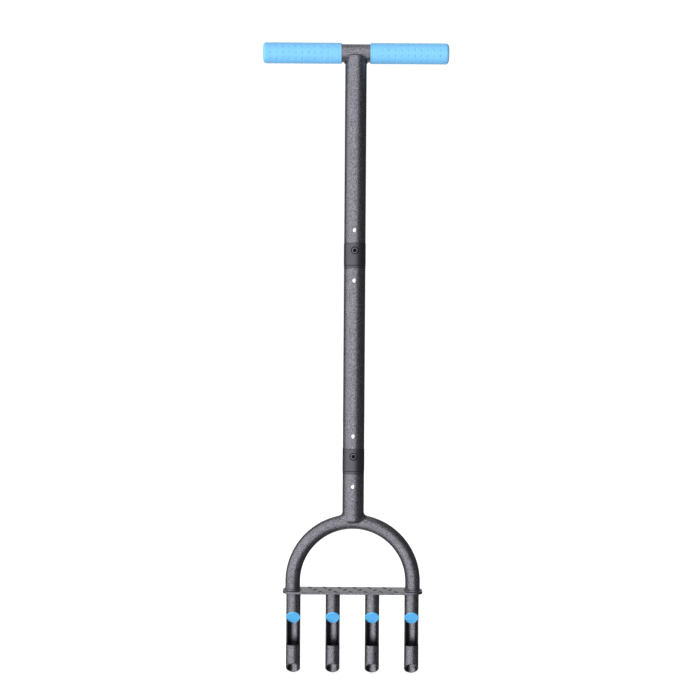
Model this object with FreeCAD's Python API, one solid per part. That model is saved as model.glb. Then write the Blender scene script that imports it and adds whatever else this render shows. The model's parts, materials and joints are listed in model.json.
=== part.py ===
# Hand lawn core aerator: a T-handled steel tool that is stepped into turf with a foot
# and pulled out again, with four hollow tines that each cut and throw out a core of soil.
#
# Frame: millimetres, +Z up the shaft, X along the handle and the row of tines, and the
# front, where the windows of the tines open, faces -Y.  The origin lies on the shaft's
# axis, level with the lowest points of the tines.
#
# The shaft comes apart in three sections.  Each joint is a nylon stem that stands on the
# tube below, inside a nylon socket in the tube above, held by one lock screw.  A blind rivet
# in front fastens each nylon part in its tube.

import FreeCAD
import Part
import math
import os

Vector = FreeCAD.Vector

# ---- driving dimensions ---------------------------------------------------------------

# Shaft
shaft_diameter = 32.0
shaft_wall = 1.5
middle_tube_length = 266.8
upper_tube_length = 277.0
lower_tube_length = 69.0

# Couplings
collar_proud = 0.3
collar_length = 33.3
ring_proud = 0.15
ring_height = 4.2
stem_wall = 4.0
stem_end_gap = 3.4
spigot_length = 34.0
spigot_wall = 2.95
web_thickness = 3.0
edge_chamfer = 0.5
seat_gap = 0.1
running_clearance = 0.05
assembly_clearance = 0.05

# Blind rivets that fasten the nylon parts in the tubes
rivet_inset = 18.4
rivet_diameter = 3.2
rivet_head_diameter = 6.4
rivet_head_height = 1.1
rivet_tail_diameter = 4.8
rivet_tail_length = 2.4
rivet_pin_diameter = 1.8
rivet_pin_drop = 0.3

# Lock screws and their nuts
screw_drop = 11.4
screw_diameter = 6.0
head_diameter = 9.4
head_height = 2.6
key_size = 5.0
key_depth = 1.8
counterbore_diameter = 11.4
counterbore_depth = 3.6
nut_web = 1.0
nut_size = 10.0
nut_thickness = 2.5
nut_margin = 0.15
keyway_depth = 2.0
keyway_clearance = 0.1

# Handle
crossbar_diameter = 26.7
crossbar_wall = 2.0
bare_bar_length = 42.7
grip_wall = 1.85
grip_length = 116.5
grip_end_thickness = 2.5
grip_end_radius = 4.6
grip_lip_radius = 0.8
saddle_overlap = 7.35

# Fork
arch_tube_diameter = 22.0
arch_wall = 1.5
arch_leg_offset = 1.2
arch_leg_length = 12.3
shoulder_overlap = 8.4

# Foot plate
plate_rim = 0.35
plate_depth = 42.0
plate_thickness = 3.5
plate_corner_radius = 16.0
lozenge_length = 13.5
lozenge_width = 4.2
lozenge_height = 0.9
lozenge_angle = 62.0
lozenge_pitch = 22.3
lozenge_row_spacing = 14.0
lozenge_row_shift = 8.0

# Tines
tine_count = 4
tine_pitch = 58.6
tine_diameter = 21.3
tine_wall = 2.0
tine_length = 122.5
tip_rise = 18.8
window_height = 37.8
window_past_axis = 1.0
plug_face_drop = 39.9
plug_face_angle = 43.7
plug_lip = 1.3
plug_lip_proud = 0.4
plug_length = 30.0

# Welds
saddle_weld = 2.4
saddle_weld_cap = 1.5
shoulder_weld_leg = 4.5
shoulder_weld_drop = 4.0
leg_weld_size = 3.2
tine_weld_size = 2.6

# Room that a cutting solid has past the face that it cuts
cut_room = 2.0

# ---- places that follow from them -----------------------------------------------------

shaft_radius = shaft_diameter / 2
shaft_bore_radius = shaft_radius - shaft_wall
spigot_radius = shaft_bore_radius - assembly_clearance
spigot_bore_radius = spigot_radius - spigot_wall
collar_radius = shaft_radius + collar_proud
ring_radius = shaft_radius + ring_proud
socket_wall = counterbore_depth + nut_web + nut_thickness + nut_margin
socket_bore_radius = collar_radius - socket_wall
stem_radius = socket_bore_radius - running_clearance
stem_bore_radius = stem_radius - stem_wall
stem_length = seat_gap + collar_length - stem_end_gap
screw_height = collar_length - screw_drop
crossbar_radius = crossbar_diameter / 2
grip_radius = crossbar_radius + grip_wall
tine_radius = tine_diameter / 2
tine_bore_radius = tine_radius - tine_wall
tine_row_length = (tine_count - 1) * tine_pitch
arch_tube_radius = arch_tube_diameter / 2
arch_radius = tine_row_length / 2 + arch_leg_offset
plate_length = 2 * (arch_radius + arch_tube_radius + leg_weld_size + plate_rim)

plate_bottom = tine_length
plug_face_height = plate_bottom - plug_face_drop
window_bottom = plug_face_height - window_height
plate_top = plate_bottom + plate_thickness
arch_centre = plate_top + arch_leg_length
arch_crown = arch_centre + arch_radius + arch_tube_radius

lower_tube_bottom = arch_crown - shoulder_overlap
lower_tube_top = lower_tube_bottom + lower_tube_length
lower_joint = lower_tube_top + ring_height
middle_tube_bottom = lower_joint + seat_gap + collar_length
middle_tube_top = middle_tube_bottom + middle_tube_length
upper_joint = middle_tube_top + ring_height
upper_tube_bottom = upper_joint + seat_gap + collar_length
upper_tube_top = upper_tube_bottom + upper_tube_length
crossbar_height = upper_tube_top - saddle_overlap + crossbar_radius

# ---- helpers --------------------------------------------------------------------------


def upright_cylinder(radius, low, high, x=0.0):
    """A cylinder along +Z between two heights."""
    return Part.makeCylinder(radius, high - low, Vector(x, 0, low), Vector(0, 0, 1))


def upright_tube(outer_radius, inner_radius, low, high, x=0.0):
    """A straight tube along +Z between two heights."""
    outside = upright_cylinder(outer_radius, low, high, x)
    inside = upright_cylinder(inner_radius, low - cut_room, high + cut_room, x)
    return outside.cut(inside)


def sideways_cylinder(radius, left, right, height):
    """A cylinder along +X between two places, at one height."""
    return Part.makeCylinder(radius, right - left, Vector(left, 0, height), Vector(1, 0, 0))


def forward_cylinder(radius, front, back, height):
    """A cylinder along Y between two places, at one height on the shaft's axis."""
    return Part.makeCylinder(radius, back - front, Vector(0, front, height), Vector(0, 1, 0))


def forward_hexagon(flats, front, back, height):
    """A hexagonal prism along Y, with two corners pointing sideways."""
    corner_radius = flats / math.sqrt(3)
    corners = []
    for step in range(6):
        turn = math.radians(60 * step)
        across = corner_radius * math.cos(turn)
        up = corner_radius * math.sin(turn)
        corners.append(Vector(across, front, height + up))
    outline = Part.makePolygon(corners + [corners[0]])
    return Part.Face(outline).extrude(Vector(0, back - front, 0))


def side_prism(outline, centre, half_width):
    """A prism along X from an outline of (y, z) corners."""
    corners = [Vector(centre - half_width, y, z) for y, z in outline]
    wire = Part.makePolygon(corners + [corners[0]])
    return Part.Face(wire).extrude(Vector(2 * half_width, 0, 0))


def rivet_hole(height):
    """The drilled hole through the shaft's front wall and the nylon behind it."""
    return forward_cylinder(rivet_diameter / 2, -shaft_radius - cut_room, -cut_room, height)


def ring_edges(solid, radius, height):
    """The circular edges of a solid that have one radius and lie at one height."""
    found = []
    for edge in solid.Edges:
        if not isinstance(edge.Curve, Part.Circle):
            continue
        if abs(edge.Curve.Radius - radius) > 0.001:
            continue
        if abs(edge.Curve.Center.z - height) > 0.001:
            continue
        found.append(edge)
    return found


def save(name, shape):
    """Write one node as a STEP file."""
    if not shape.isValid():
        raise ValueError(name + " is not a valid solid")
    shape.exportStep(os.path.join("parts", name + ".step"))


# ---- fork: arch, foot plate, tines ----------------------------------------------------


def arch_solid(radius):
    """A solid bar that follows the arch: half a torus on two straight legs."""
    crown = Part.makeTorus(arch_radius, radius, Vector(0, 0, arch_centre), Vector(0, 1, 0))
    below = Part.makeBox(
        4 * arch_radius, 4 * radius, 2 * arch_radius,
        Vector(-2 * arch_radius, -2 * radius, arch_centre - 2 * arch_radius),
    )
    left_leg = upright_cylinder(radius, plate_top, arch_centre, -arch_radius)
    right_leg = upright_cylinder(radius, plate_top, arch_centre, arch_radius)
    return crown.cut(below).fuse([left_leg, right_leg]).removeSplitter()


def make_arch_tube():
    """The bent tube that carries the plate under the shaft."""
    return arch_solid(arch_tube_radius).cut(arch_solid(arch_tube_radius - arch_wall))


def make_lower_tube():
    """The short shaft tube whose lower end is coped over the arch."""
    tube = upright_tube(shaft_radius, shaft_bore_radius, lower_tube_bottom, lower_tube_top)
    coped = tube.cut(arch_solid(arch_tube_radius))
    return coped.cut(rivet_hole(lower_tube_top - rivet_inset))


def make_shoulder_weld():
    """The bead that runs round the saddle of the lower tube on the arch."""
    low = lower_tube_bottom - shoulder_weld_drop
    high = arch_crown + shoulder_weld_leg
    skirt = Part.makeCone(
        shaft_radius + shoulder_weld_leg, shaft_radius + edge_chamfer, high - low, Vector(0, 0, low)
    )
    near_arch = skirt.common(arch_solid(arch_tube_radius + shoulder_weld_leg))
    outside_arch = near_arch.cut(arch_solid(arch_tube_radius))
    return outside_arch.cut(upright_cylinder(shaft_radius, lower_tube_bottom, high + cut_room))


def lozenge(x, y, turn):
    """One raised lens-shaped mark of the tread, cut from two crossing cylinders."""
    half_length = lozenge_length / 2
    half_width = lozenge_width / 2
    radius = (half_length ** 2 + half_width ** 2) / (2 * half_width)
    offset = radius - half_width
    height = lozenge_height + plate_thickness / 2
    base = plate_top - plate_thickness / 2
    one_side = Part.makeCylinder(radius, height, Vector(0, offset, base))
    other_side = Part.makeCylinder(radius, height, Vector(0, -offset, base))
    mark = one_side.common(other_side)
    mark.rotate(Vector(0, 0, 0), Vector(0, 0, 1), turn)
    mark.translate(Vector(x, y, 0))
    return mark


def lozenges_per_row():
    """How many lozenges fit in a row between the weld beads of the arch's legs."""
    bare_length = 2 * (arch_radius - arch_tube_radius - leg_weld_size)
    lozenge_span = lozenge_length * math.cos(math.radians(lozenge_angle))
    room = bare_length - 2 * lozenge_row_shift - lozenge_span
    return int(room // lozenge_pitch) + 1


def make_foot_plate():
    """The tread plate, with rows of lozenges that lean alternately left and right."""
    plate = Part.makeBox(
        plate_length, plate_depth, plate_thickness,
        Vector(-plate_length / 2, -plate_depth / 2, plate_bottom),
    )
    corners = [edge for edge in plate.Edges if abs(edge.tangentAt(edge.FirstParameter).z) > 0.99]
    plate = plate.makeFillet(plate_corner_radius, corners)
    inside_edges = Part.makeBox(
        plate_length, plate_depth, plate_thickness + 2 * lozenge_height,
        Vector(-plate_length / 2, -plate_depth / 2, plate_bottom),
    )
    per_row = lozenges_per_row()
    marks = []
    for row in (-1, 0, 1):
        turn = lozenge_angle if row == 0 else -lozenge_angle
        for column in range(per_row):
            along = (column - (per_row - 1) / 2) * lozenge_pitch
            mark = lozenge(along - row * lozenge_row_shift, row * lozenge_row_spacing, turn)
            marks.append(mark.common(inside_edges))
    return plate.fuse(marks).removeSplitter()


def make_leg_welds():
    """The two beads round the ends of the arch, on top of the plate."""
    beads = []
    for side in (-1, 1):
        x = side * arch_radius
        bead = Part.makeCone(
            arch_tube_radius + leg_weld_size, arch_tube_radius, leg_weld_size, Vector(x, 0, plate_top)
        )
        beads.append(bead.cut(upright_cylinder(arch_tube_radius, plate_top, arch_centre, x)))
    return Part.makeCompound(beads)


def tine_places():
    """The X of each tine's axis, from left to right."""
    return [(number - (tine_count - 1) / 2) * tine_pitch for number in range(tine_count)]


def face_height(y, lift=0.0):
    """Height of the plug's slanted face, or of a plane that lies lift behind it, at one y."""
    slope = math.tan(math.radians(plug_face_angle))
    rise = lift / math.cos(math.radians(plug_face_angle))
    return plug_face_height + rise - y * slope


def make_tine(x):
    """A coring tube with an oblique tip and a window in front, under the slanted plug."""
    tube = upright_tube(tine_radius, tine_bore_radius, 0, plate_bottom, x)
    reach = tine_radius + cut_room
    window = side_prism(
        [
            (-reach, window_bottom),
            (window_past_axis, window_bottom),
            (window_past_axis, face_height(window_past_axis, plug_lip)),
            (-reach, face_height(-reach, plug_lip)),
        ],
        x, reach,
    )
    tip_slope = tip_rise / tine_diameter
    tip = side_prism(
        [
            (-reach, (tine_radius + reach) * tip_slope),
            (reach, (tine_radius - reach) * tip_slope),
            (reach, -reach),
            (-reach, -reach),
        ],
        x, reach,
    )
    return tube.cut(window).cut(tip)


def make_core_plug(x):
    """The plug that steers a core out, with a lip over the edge of the window."""
    reach = tine_radius + cut_room
    top = plug_face_height + plug_length
    body = upright_cylinder(tine_bore_radius - assembly_clearance, window_bottom, top, x)
    under_face = side_prism(
        [
            (-reach, face_height(-reach)),
            (reach, face_height(reach)),
            (reach, window_bottom - reach),
            (-reach, window_bottom - reach),
        ],
        x, reach,
    )
    lip_slice = side_prism(
        [
            (-reach, face_height(-reach)),
            (window_past_axis, face_height(window_past_axis)),
            (window_past_axis, face_height(window_past_axis, plug_lip)),
            (-reach, face_height(-reach, plug_lip)),
        ],
        x, reach,
    )
    lip = upright_cylinder(tine_radius + plug_lip_proud, window_bottom, plate_bottom, x)
    lip = lip.common(lip_slice)
    return body.cut(under_face).fuse(lip).removeSplitter()


def make_tine_welds():
    """The beads that hold the tines under the plate."""
    beads = []
    for x in tine_places():
        low = plate_bottom - tine_weld_size
        bead = Part.makeCone(tine_radius, tine_radius + tine_weld_size, tine_weld_size, Vector(x, 0, low))
        beads.append(bead.cut(upright_cylinder(tine_radius, low, plate_bottom, x)))
    return Part.makeCompound(beads)


# ---- couplings ------------------------------------------------------------------------


def make_stem(tube_top):
    """The nylon ring on top of a tube, with a hollow plug below it and the stem above it."""
    joint = tube_top + ring_height
    tip = joint + stem_length
    ring = upright_cylinder(ring_radius, tube_top, joint)
    rims = ring_edges(ring, ring_radius, tube_top) + ring_edges(ring, ring_radius, joint)
    ring = ring.makeChamfer(edge_chamfer, rims)
    plug = upright_cylinder(spigot_radius, tube_top - spigot_length, tube_top)
    stem = upright_cylinder(stem_radius, joint, tip)
    solid = ring.fuse([plug, stem])
    wide_bore = upright_cylinder(
        spigot_bore_radius, tube_top - spigot_length - cut_room, tube_top - web_thickness
    )
    narrow_bore = upright_cylinder(stem_bore_radius, tube_top - spigot_length, tip + cut_room)
    keyway_width = screw_diameter + 2 * keyway_clearance
    keyway_low = joint + seat_gap + screw_height - keyway_width / 2
    keyway = Part.makeBox(
        keyway_width, stem_radius, tip + cut_room - keyway_low,
        Vector(-keyway_width / 2, keyway_depth - 2 * stem_radius, keyway_low),
    )
    return solid.cut([wide_bore, narrow_bore, keyway, rivet_hole(tube_top - rivet_inset)])


def screw_places():
    """The Y of the nut's two faces, the head's seat and the screw's tip, on one socket."""
    seat = counterbore_depth - collar_radius
    nut_front = seat + nut_web
    nut_back = nut_front + nut_thickness
    tip = keyway_depth - keyway_clearance - stem_radius
    return seat, nut_front, nut_back, tip


def make_socket(tube_bottom):
    """The nylon collar under a tube, with a hollow spigot that goes up into the tube."""
    low = tube_bottom - collar_length
    screw_axis = low + screw_height
    seat, nut_front, nut_back, tip = screw_places()
    collar = upright_cylinder(collar_radius, low, tube_bottom)
    rims = ring_edges(collar, collar_radius, low) + ring_edges(collar, collar_radius, tube_bottom)
    collar = collar.makeChamfer(edge_chamfer, rims)
    spigot = upright_cylinder(spigot_radius, tube_bottom, tube_bottom + spigot_length)
    solid = collar.fuse(spigot)
    bore = upright_cylinder(socket_bore_radius, low - cut_room, tube_bottom + web_thickness)
    wide_bore = upright_cylinder(
        spigot_bore_radius, tube_bottom + web_thickness, tube_bottom + spigot_length + cut_room
    )
    counterbore = forward_cylinder(counterbore_diameter / 2, -collar_radius - cut_room, seat, screw_axis)
    shank_hole = forward_cylinder(screw_diameter / 2 + running_clearance, seat, tip, screw_axis)
    pocket = forward_hexagon(nut_size + 2 * assembly_clearance, nut_front, tip, screw_axis)
    drilled = rivet_hole(tube_bottom + rivet_inset)
    return solid.cut([bore, wide_bore, counterbore, shank_hole, pocket, drilled])


def make_nut(tube_bottom):
    """The steel nut that sits in the socket's wall, on the screw's axis."""
    screw_axis = tube_bottom - collar_length + screw_height
    seat, nut_front, nut_back, tip = screw_places()
    nut = forward_hexagon(nut_size, nut_front, nut_back, screw_axis)
    hole = forward_cylinder(
        screw_diameter / 2 + running_clearance, nut_front - cut_room, nut_back + cut_room, screw_axis
    )
    return nut.cut(hole)


def make_screw(tube_bottom):
    """The lock screw: a low round head with a hexagonal key hole, and a plain shank."""
    screw_axis = tube_bottom - collar_length + screw_height
    seat, nut_front, nut_back, tip = screw_places()
    head_front = seat - head_height
    head = forward_cylinder(head_diameter / 2, head_front, seat, screw_axis)
    front_edges = [
        edge for edge in head.Edges
        if isinstance(edge.Curve, Part.Circle) and abs(edge.Curve.Center.y - head_front) < 0.001
    ]
    head = head.makeChamfer(edge_chamfer, front_edges)
    shank = forward_cylinder(screw_diameter / 2, seat, tip, screw_axis)
    key_hole = forward_hexagon(key_size, head_front - cut_room, head_front + key_depth, screw_axis)
    return head.fuse(shank).cut(key_hole)


def make_rivet(height):
    """A blind rivet: a domed head on the tube, a shank, and a flat tail set inside the nylon.

    The head is a ball's cap whose rim touches the tube's foremost line, filled in down to the
    tube.  Its middle is dished where the pin broke off.
    """
    head_radius = rivet_head_diameter / 2
    ball_radius = (head_radius ** 2 + rivet_head_height ** 2) / (2 * rivet_head_height)
    ball_centre = Vector(0, -shaft_radius - rivet_head_height + ball_radius, height)
    head = Part.makeSphere(ball_radius, ball_centre)
    head = head.common(forward_cylinder(head_radius, -shaft_radius - cut_room, -shaft_radius, height))
    rim = forward_cylinder(head_radius, -shaft_radius, -shaft_bore_radius, height)
    rim = rim.cut(upright_cylinder(shaft_radius, height - head_radius, height + head_radius))
    tail_end = rivet_tail_length - spigot_bore_radius
    shank = forward_cylinder(rivet_diameter / 2, -shaft_radius, tail_end, height)
    tail = forward_cylinder(rivet_tail_diameter / 2, -spigot_radius, tail_end, height)
    tail = tail.common(upright_cylinder(spigot_bore_radius, height - head_radius, height + head_radius))
    dish = forward_cylinder(
        rivet_pin_diameter / 2, -shaft_radius - cut_room, -shaft_radius - rivet_head_height + rivet_pin_drop,
        height,
    )
    return head.fuse([rim, shank, tail]).cut(dish).removeSplitter()


# ---- middle and handle sections -------------------------------------------------------


def make_middle_tube():
    """The middle length of shaft, with a rivet hole near each end."""
    tube = upright_tube(shaft_radius, shaft_bore_radius, middle_tube_bottom, middle_tube_top)
    lower_hole = rivet_hole(middle_tube_bottom + rivet_inset)
    upper_hole = rivet_hole(middle_tube_top - rivet_inset)
    return tube.cut([lower_hole, upper_hole])


def bar_half_length():
    """Half the length of the crossbar, up to the inside of the grips' closed ends."""
    return bare_bar_length / 2 + grip_length - grip_end_thickness


def solid_crossbar(radius):
    """A solid bar where the crossbar lies."""
    return sideways_cylinder(radius, -bar_half_length(), bar_half_length(), crossbar_height)


def make_upper_tube():
    """The top length of shaft, coped to sit round the underside of the crossbar."""
    tube = upright_tube(shaft_radius, shaft_bore_radius, upper_tube_bottom, upper_tube_top)
    coped = tube.cut(solid_crossbar(crossbar_radius))
    return coped.cut(rivet_hole(upper_tube_bottom + rivet_inset))


def make_crossbar_tube():
    """The cross tube of the handle."""
    return solid_crossbar(crossbar_radius).cut(solid_crossbar(crossbar_radius - crossbar_wall))


def make_handle_weld():
    """The bead that runs round the saddle of the upper tube under the crossbar."""
    high = upper_tube_top + saddle_weld_cap
    low = crossbar_height - crossbar_radius - 2 * saddle_weld
    sleeve = Part.makeCone(
        shaft_radius + edge_chamfer, shaft_radius + saddle_weld, high - low, Vector(0, 0, low)
    )
    near_bar = sleeve.common(solid_crossbar(crossbar_radius + 2 * saddle_weld))
    outside_bar = near_bar.cut(solid_crossbar(crossbar_radius))
    return outside_bar.cut(upright_cylinder(shaft_radius, low - cut_room, upper_tube_top))


def make_grip(side):
    """A rubber sleeve with a closed outer end; side is -1 for the left and 1 for the right."""
    inner_end = bare_bar_length / 2
    outer_end = inner_end + grip_length
    sleeve = sideways_cylinder(grip_radius, inner_end, outer_end, crossbar_height)
    closed_edge = [edge for edge in sleeve.Edges if is_rim(edge, outer_end)]
    sleeve = sleeve.makeFillet(grip_end_radius, closed_edge)
    open_edge = [edge for edge in sleeve.Edges if is_rim(edge, inner_end)]
    sleeve = sleeve.makeFillet(grip_lip_radius, open_edge)
    bore = sideways_cylinder(
        crossbar_radius + assembly_clearance, inner_end - cut_room, outer_end - grip_end_thickness,
        crossbar_height,
    )
    grip = sleeve.cut(bore)
    if side < 0:
        grip = grip.mirror(Vector(0, 0, 0), Vector(1, 0, 0))
    return grip


def is_rim(edge, x):
    """True for a whole circle round the crossbar's axis at one x."""
    if not isinstance(edge.Curve, Part.Circle):
        return False
    return abs(edge.Curve.Center.x - x) < 0.001


# ---- all nodes ------------------------------------------------------------------------


def main():
    os.makedirs("parts", exist_ok=True)
    save("arch_tube", make_arch_tube())
    save("lower_tube", make_lower_tube())
    save("shoulder_weld", make_shoulder_weld())
    save("foot_plate", make_foot_plate())
    save("leg_welds", make_leg_welds())
    save("tine_welds", make_tine_welds())
    for number, x in enumerate(tine_places(), start=1):
        save("tine_" + str(number), make_tine(x))
        save("core_plug_" + str(number), make_core_plug(x))
    save("lower_stem", make_stem(lower_tube_top))
    save("lower_stem_rivet", make_rivet(lower_tube_top - rivet_inset))
    save("lower_socket", make_socket(middle_tube_bottom))
    save("lower_socket_rivet", make_rivet(middle_tube_bottom + rivet_inset))
    save("lower_nut", make_nut(middle_tube_bottom))
    save("lower_screw", make_screw(middle_tube_bottom))
    save("middle_tube", make_middle_tube())
    save("upper_stem", make_stem(middle_tube_top))
    save("upper_stem_rivet", make_rivet(middle_tube_top - rivet_inset))
    save("upper_socket", make_socket(upper_tube_bottom))
    save("upper_socket_rivet", make_rivet(upper_tube_bottom + rivet_inset))
    save("upper_nut", make_nut(upper_tube_bottom))
    save("upper_screw", make_screw(upper_tube_bottom))
    save("upper_tube", make_upper_tube())
    save("crossbar_tube", make_crossbar_tube())
    save("handle_weld", make_handle_weld())
    save("left_grip", make_grip(-1))
    save("right_grip", make_grip(1))


main()
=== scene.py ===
"""A hand lawn core aerator: tubular T handle, sectional shaft, arch, tread plate and four coring tines.

Everything is in metres in the tool's own frame: +Z up the shaft, X along the handle, and the
front, where the windows of the tines open, towards -Y.  Sizes that the frame holds are read from
its boxes; the rest are named here in millimetres times MM.
"""

import json
import math

import bmesh
import bpy
import numpy as np
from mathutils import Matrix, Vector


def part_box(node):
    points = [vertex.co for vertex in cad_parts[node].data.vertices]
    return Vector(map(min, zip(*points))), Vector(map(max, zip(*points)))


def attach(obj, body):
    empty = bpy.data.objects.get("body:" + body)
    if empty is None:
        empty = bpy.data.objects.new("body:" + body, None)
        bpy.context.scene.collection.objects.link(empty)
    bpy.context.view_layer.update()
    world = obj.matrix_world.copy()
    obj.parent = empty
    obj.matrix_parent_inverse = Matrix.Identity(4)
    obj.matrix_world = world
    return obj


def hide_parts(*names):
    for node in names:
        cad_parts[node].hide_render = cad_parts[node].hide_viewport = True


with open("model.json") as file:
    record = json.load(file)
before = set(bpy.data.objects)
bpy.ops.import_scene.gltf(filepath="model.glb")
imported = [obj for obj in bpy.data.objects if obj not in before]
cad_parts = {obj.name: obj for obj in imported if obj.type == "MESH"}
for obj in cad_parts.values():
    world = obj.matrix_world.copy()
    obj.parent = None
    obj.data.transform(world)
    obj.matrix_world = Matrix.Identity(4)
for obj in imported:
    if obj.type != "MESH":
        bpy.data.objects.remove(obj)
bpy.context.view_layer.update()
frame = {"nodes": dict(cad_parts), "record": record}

MM = 0.001

# ---- sizes ----------------------------------------------------------------------------


def low_of(node):
    """Lowest corner of a CAD node."""
    return np.array(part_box(node)[0])


def high_of(node):
    """Highest corner of a CAD node."""
    return np.array(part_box(node)[1])


# Shaft
shaft_radius = high_of("middle_tube")[0]
shaft_bore = shaft_radius - 1.5 * MM
collar_radius = high_of("upper_socket")[0]
ring_radius = high_of("upper_stem")[0]
ring_height = 4.2 * MM
stem_radius = 9.0 * MM
stem_bore = 5.0 * MM
socket_bore = 9.05 * MM
spigot_radius = 14.45 * MM
spigot_bore = 11.5 * MM
web_thickness = 3.0 * MM
spigot_height = 34.0 * MM
rim_chamfer = 0.5 * MM
keyway_half_width = 3.1 * MM
keyway_depth = 2.0 * MM

# Blind rivets
rivet_inset = 18.4 * MM
rivet_shank = 1.6 * MM
rivet_head = 3.2 * MM
rivet_tail = 2.4 * MM
rivet_tail_round = 0.6 * MM
rivet_pin = 0.9 * MM
rivet_dish = 0.3 * MM

# Lock screws
screw_drop = 11.4 * MM
counterbore_radius = 5.7 * MM
counterbore_depth = 3.6 * MM
head_radius = 4.7 * MM
shank_radius = 3.0 * MM
shank_hole_radius = 3.05 * MM
counterbore_floor = counterbore_depth - collar_radius
key_flats = 5.0 * MM
key_depth = 1.8 * MM

# Handle
bar_radius = high_of("crossbar_tube")[1]
bar_height = (low_of("crossbar_tube")[2] + high_of("crossbar_tube")[2]) / 2
bar_bore = bar_radius - 2.0 * MM
grip_radius = high_of("right_grip")[1]
grip_inner_end = low_of("right_grip")[0]
grip_length = high_of("right_grip")[0] - grip_inner_end
grip_end_round = 4.6 * MM
grip_lip_round = 0.8 * MM
dimple_radius = 1.6 * MM
dimple_depth = 1.1 * MM
dimple_pitch = 9.5 * MM
dimple_columns = 10
dimple_rows = 10
first_dimple = 19.0 * MM

# Fork
arch_tube_radius = high_of("arch_tube")[1]
arch_radius = high_of("arch_tube")[0] - arch_tube_radius
plate_bottom = low_of("foot_plate")[2]
plate_top = plate_bottom + 3.5 * MM
arch_centre = high_of("arch_tube")[2] - arch_tube_radius - arch_radius
plate_half_length = high_of("foot_plate")[0]
plate_half_depth = high_of("foot_plate")[1]
plate_corner = 16.0 * MM
plate_edge = 0.7 * MM
lozenge_half_length = 6.75 * MM
lozenge_half_width = 2.1 * MM
lozenge_height = high_of("foot_plate")[2] - plate_top
lozenge_flank = 0.75 * MM
lozenge_lean = math.radians(62.0)
lozenge_pitch = 22.3 * MM
lozenge_row_spacing = 14.0 * MM
lozenge_row_shift = 8.0 * MM
lozenges_per_row = 6

# Welds
leg_weld_size = 1.7 * MM
tine_weld_size = 1.6 * MM
handle_weld_size = 2.6 * MM
shoulder_weld_side_rise = 12.0 * MM
shoulder_weld_front_rise = 2.5 * MM
shoulder_weld_spread = 5.2 * MM

# Tines
tine_names = ["tine_1", "tine_2", "tine_3", "tine_4"]
tine_places = [(low_of(name)[0] + high_of(name)[0]) / 2 for name in tine_names]
tine_pitch = tine_places[1] - tine_places[0]
tine_radius = high_of("tine_1")[1]
tine_bore = tine_radius - 2.0 * MM
tip_rise = 18.8 * MM
window_bottom = 44.8 * MM
window_past_axis = 1.0 * MM
face_middle = plate_bottom - 39.9 * MM
face_tilt = math.radians(43.7)
face_slope = math.tan(face_tilt)
lip_thickness = 1.3 * MM
lip_radius = -low_of("core_plug_1")[1]
plug_radius = 8.6 * MM
plug_top = high_of("core_plug_1")[2]

# ---- meshes ---------------------------------------------------------------------------

WALL_COLUMNS = 128
HOLE_HALF_COLUMNS = 9
HOLE_HALF_HEIGHT = 7.0 * MM
HOLE_ROWS = 14
LONG_STEP = 12.0 * MM

bodies = frame["record"]["behaviour"]["bodies"]
body_of = {node: body for body, members in bodies.items() for node in members}


def make_piece(name, shells, material, nodes, bevel=0.0, sharp_angle=38.0, recess=None):
    """Put closed shells into one mesh, merge their seams and poles, and let it stand for its nodes.

    Each shell is its points and a list of face blocks, a block being one array with a row of
    point numbers for every face.  A recess is a second material, which carries painted shade,
    and a test of the faces' middles.
    """
    points = []
    corners = []
    sizes = []
    offset = 0
    for shell_points, blocks in shells:
        points.append(shell_points.reshape(-1, 3))
        for block in blocks:
            corners.append(block.ravel() + offset)
            sizes.append(np.full(len(block), block.shape[1]))
        offset += len(points[-1])
    points = np.concatenate(points)
    corners = np.concatenate(corners)
    sizes = np.concatenate(sizes)
    mesh = bpy.data.meshes.new(name)
    mesh.vertices.add(len(points))
    mesh.vertices.foreach_set("co", points.astype(np.float32).ravel())
    mesh.loops.add(len(corners))
    mesh.loops.foreach_set("vertex_index", corners.astype(np.int32))
    mesh.polygons.add(len(sizes))
    mesh.polygons.foreach_set("loop_start", (np.cumsum(sizes) - sizes).astype(np.int32))
    mesh.update(calc_edges=True)
    close_seams(mesh)
    mesh.polygons.foreach_set("use_smooth", np.ones(len(mesh.polygons), bool))
    mesh.materials.append(material)
    if recess:
        second, is_inside = recess
        mesh.materials.append(second)
        middles = np.array([face.center for face in mesh.polygons])
        mesh.polygons.foreach_set("material_index", is_inside(*middles.T).astype(np.int32))
    piece = bpy.data.objects.new(name, mesh)
    bpy.context.scene.collection.objects.link(piece)
    if bevel:
        rounding = piece.modifiers.new("edge_rounding", "BEVEL")
        rounding.width = bevel
        rounding.segments = 2
        rounding.limit_method = "ANGLE"
        rounding.angle_limit = math.radians(sharp_angle)
        rounding.harden_normals = True
    else:
        mesh.set_sharp_from_angle(angle=math.radians(sharp_angle))
    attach(piece, body_of[nodes[0]])
    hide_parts(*nodes)


def close_seams(mesh):
    """Merge points that coincide, drop points that no face uses, and turn the faces outwards."""
    work = bmesh.new()
    work.from_mesh(mesh)
    bmesh.ops.remove_doubles(work, verts=work.verts, dist=0.002 * MM)
    loose = [point for point in work.verts if not point.link_faces]
    bmesh.ops.delete(work, geom=loose, context="VERTS")
    bmesh.ops.recalc_face_normals(work, faces=work.faces)
    work.to_mesh(mesh)
    work.free()


def turns(count):
    """Even angles once round, counted from the front towards the right."""
    return np.arange(count) * 2 * np.pi / count


def ring_cells(rows, columns, joined=False):
    """Quads of a grid stored row by row whose last column meets its first; joined closes the rows too."""
    number = np.arange(rows * columns).reshape(rows, columns)
    beside = np.roll(number, -1, axis=1)
    below, above = number, np.roll(number, -1, axis=0)
    below_beside, above_beside = beside, np.roll(beside, -1, axis=0)
    cells = np.stack([below, below_beside, above_beside, above], axis=-1)
    if not joined:
        cells = cells[:-1]
    return cells.reshape(-1, 4)


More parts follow.
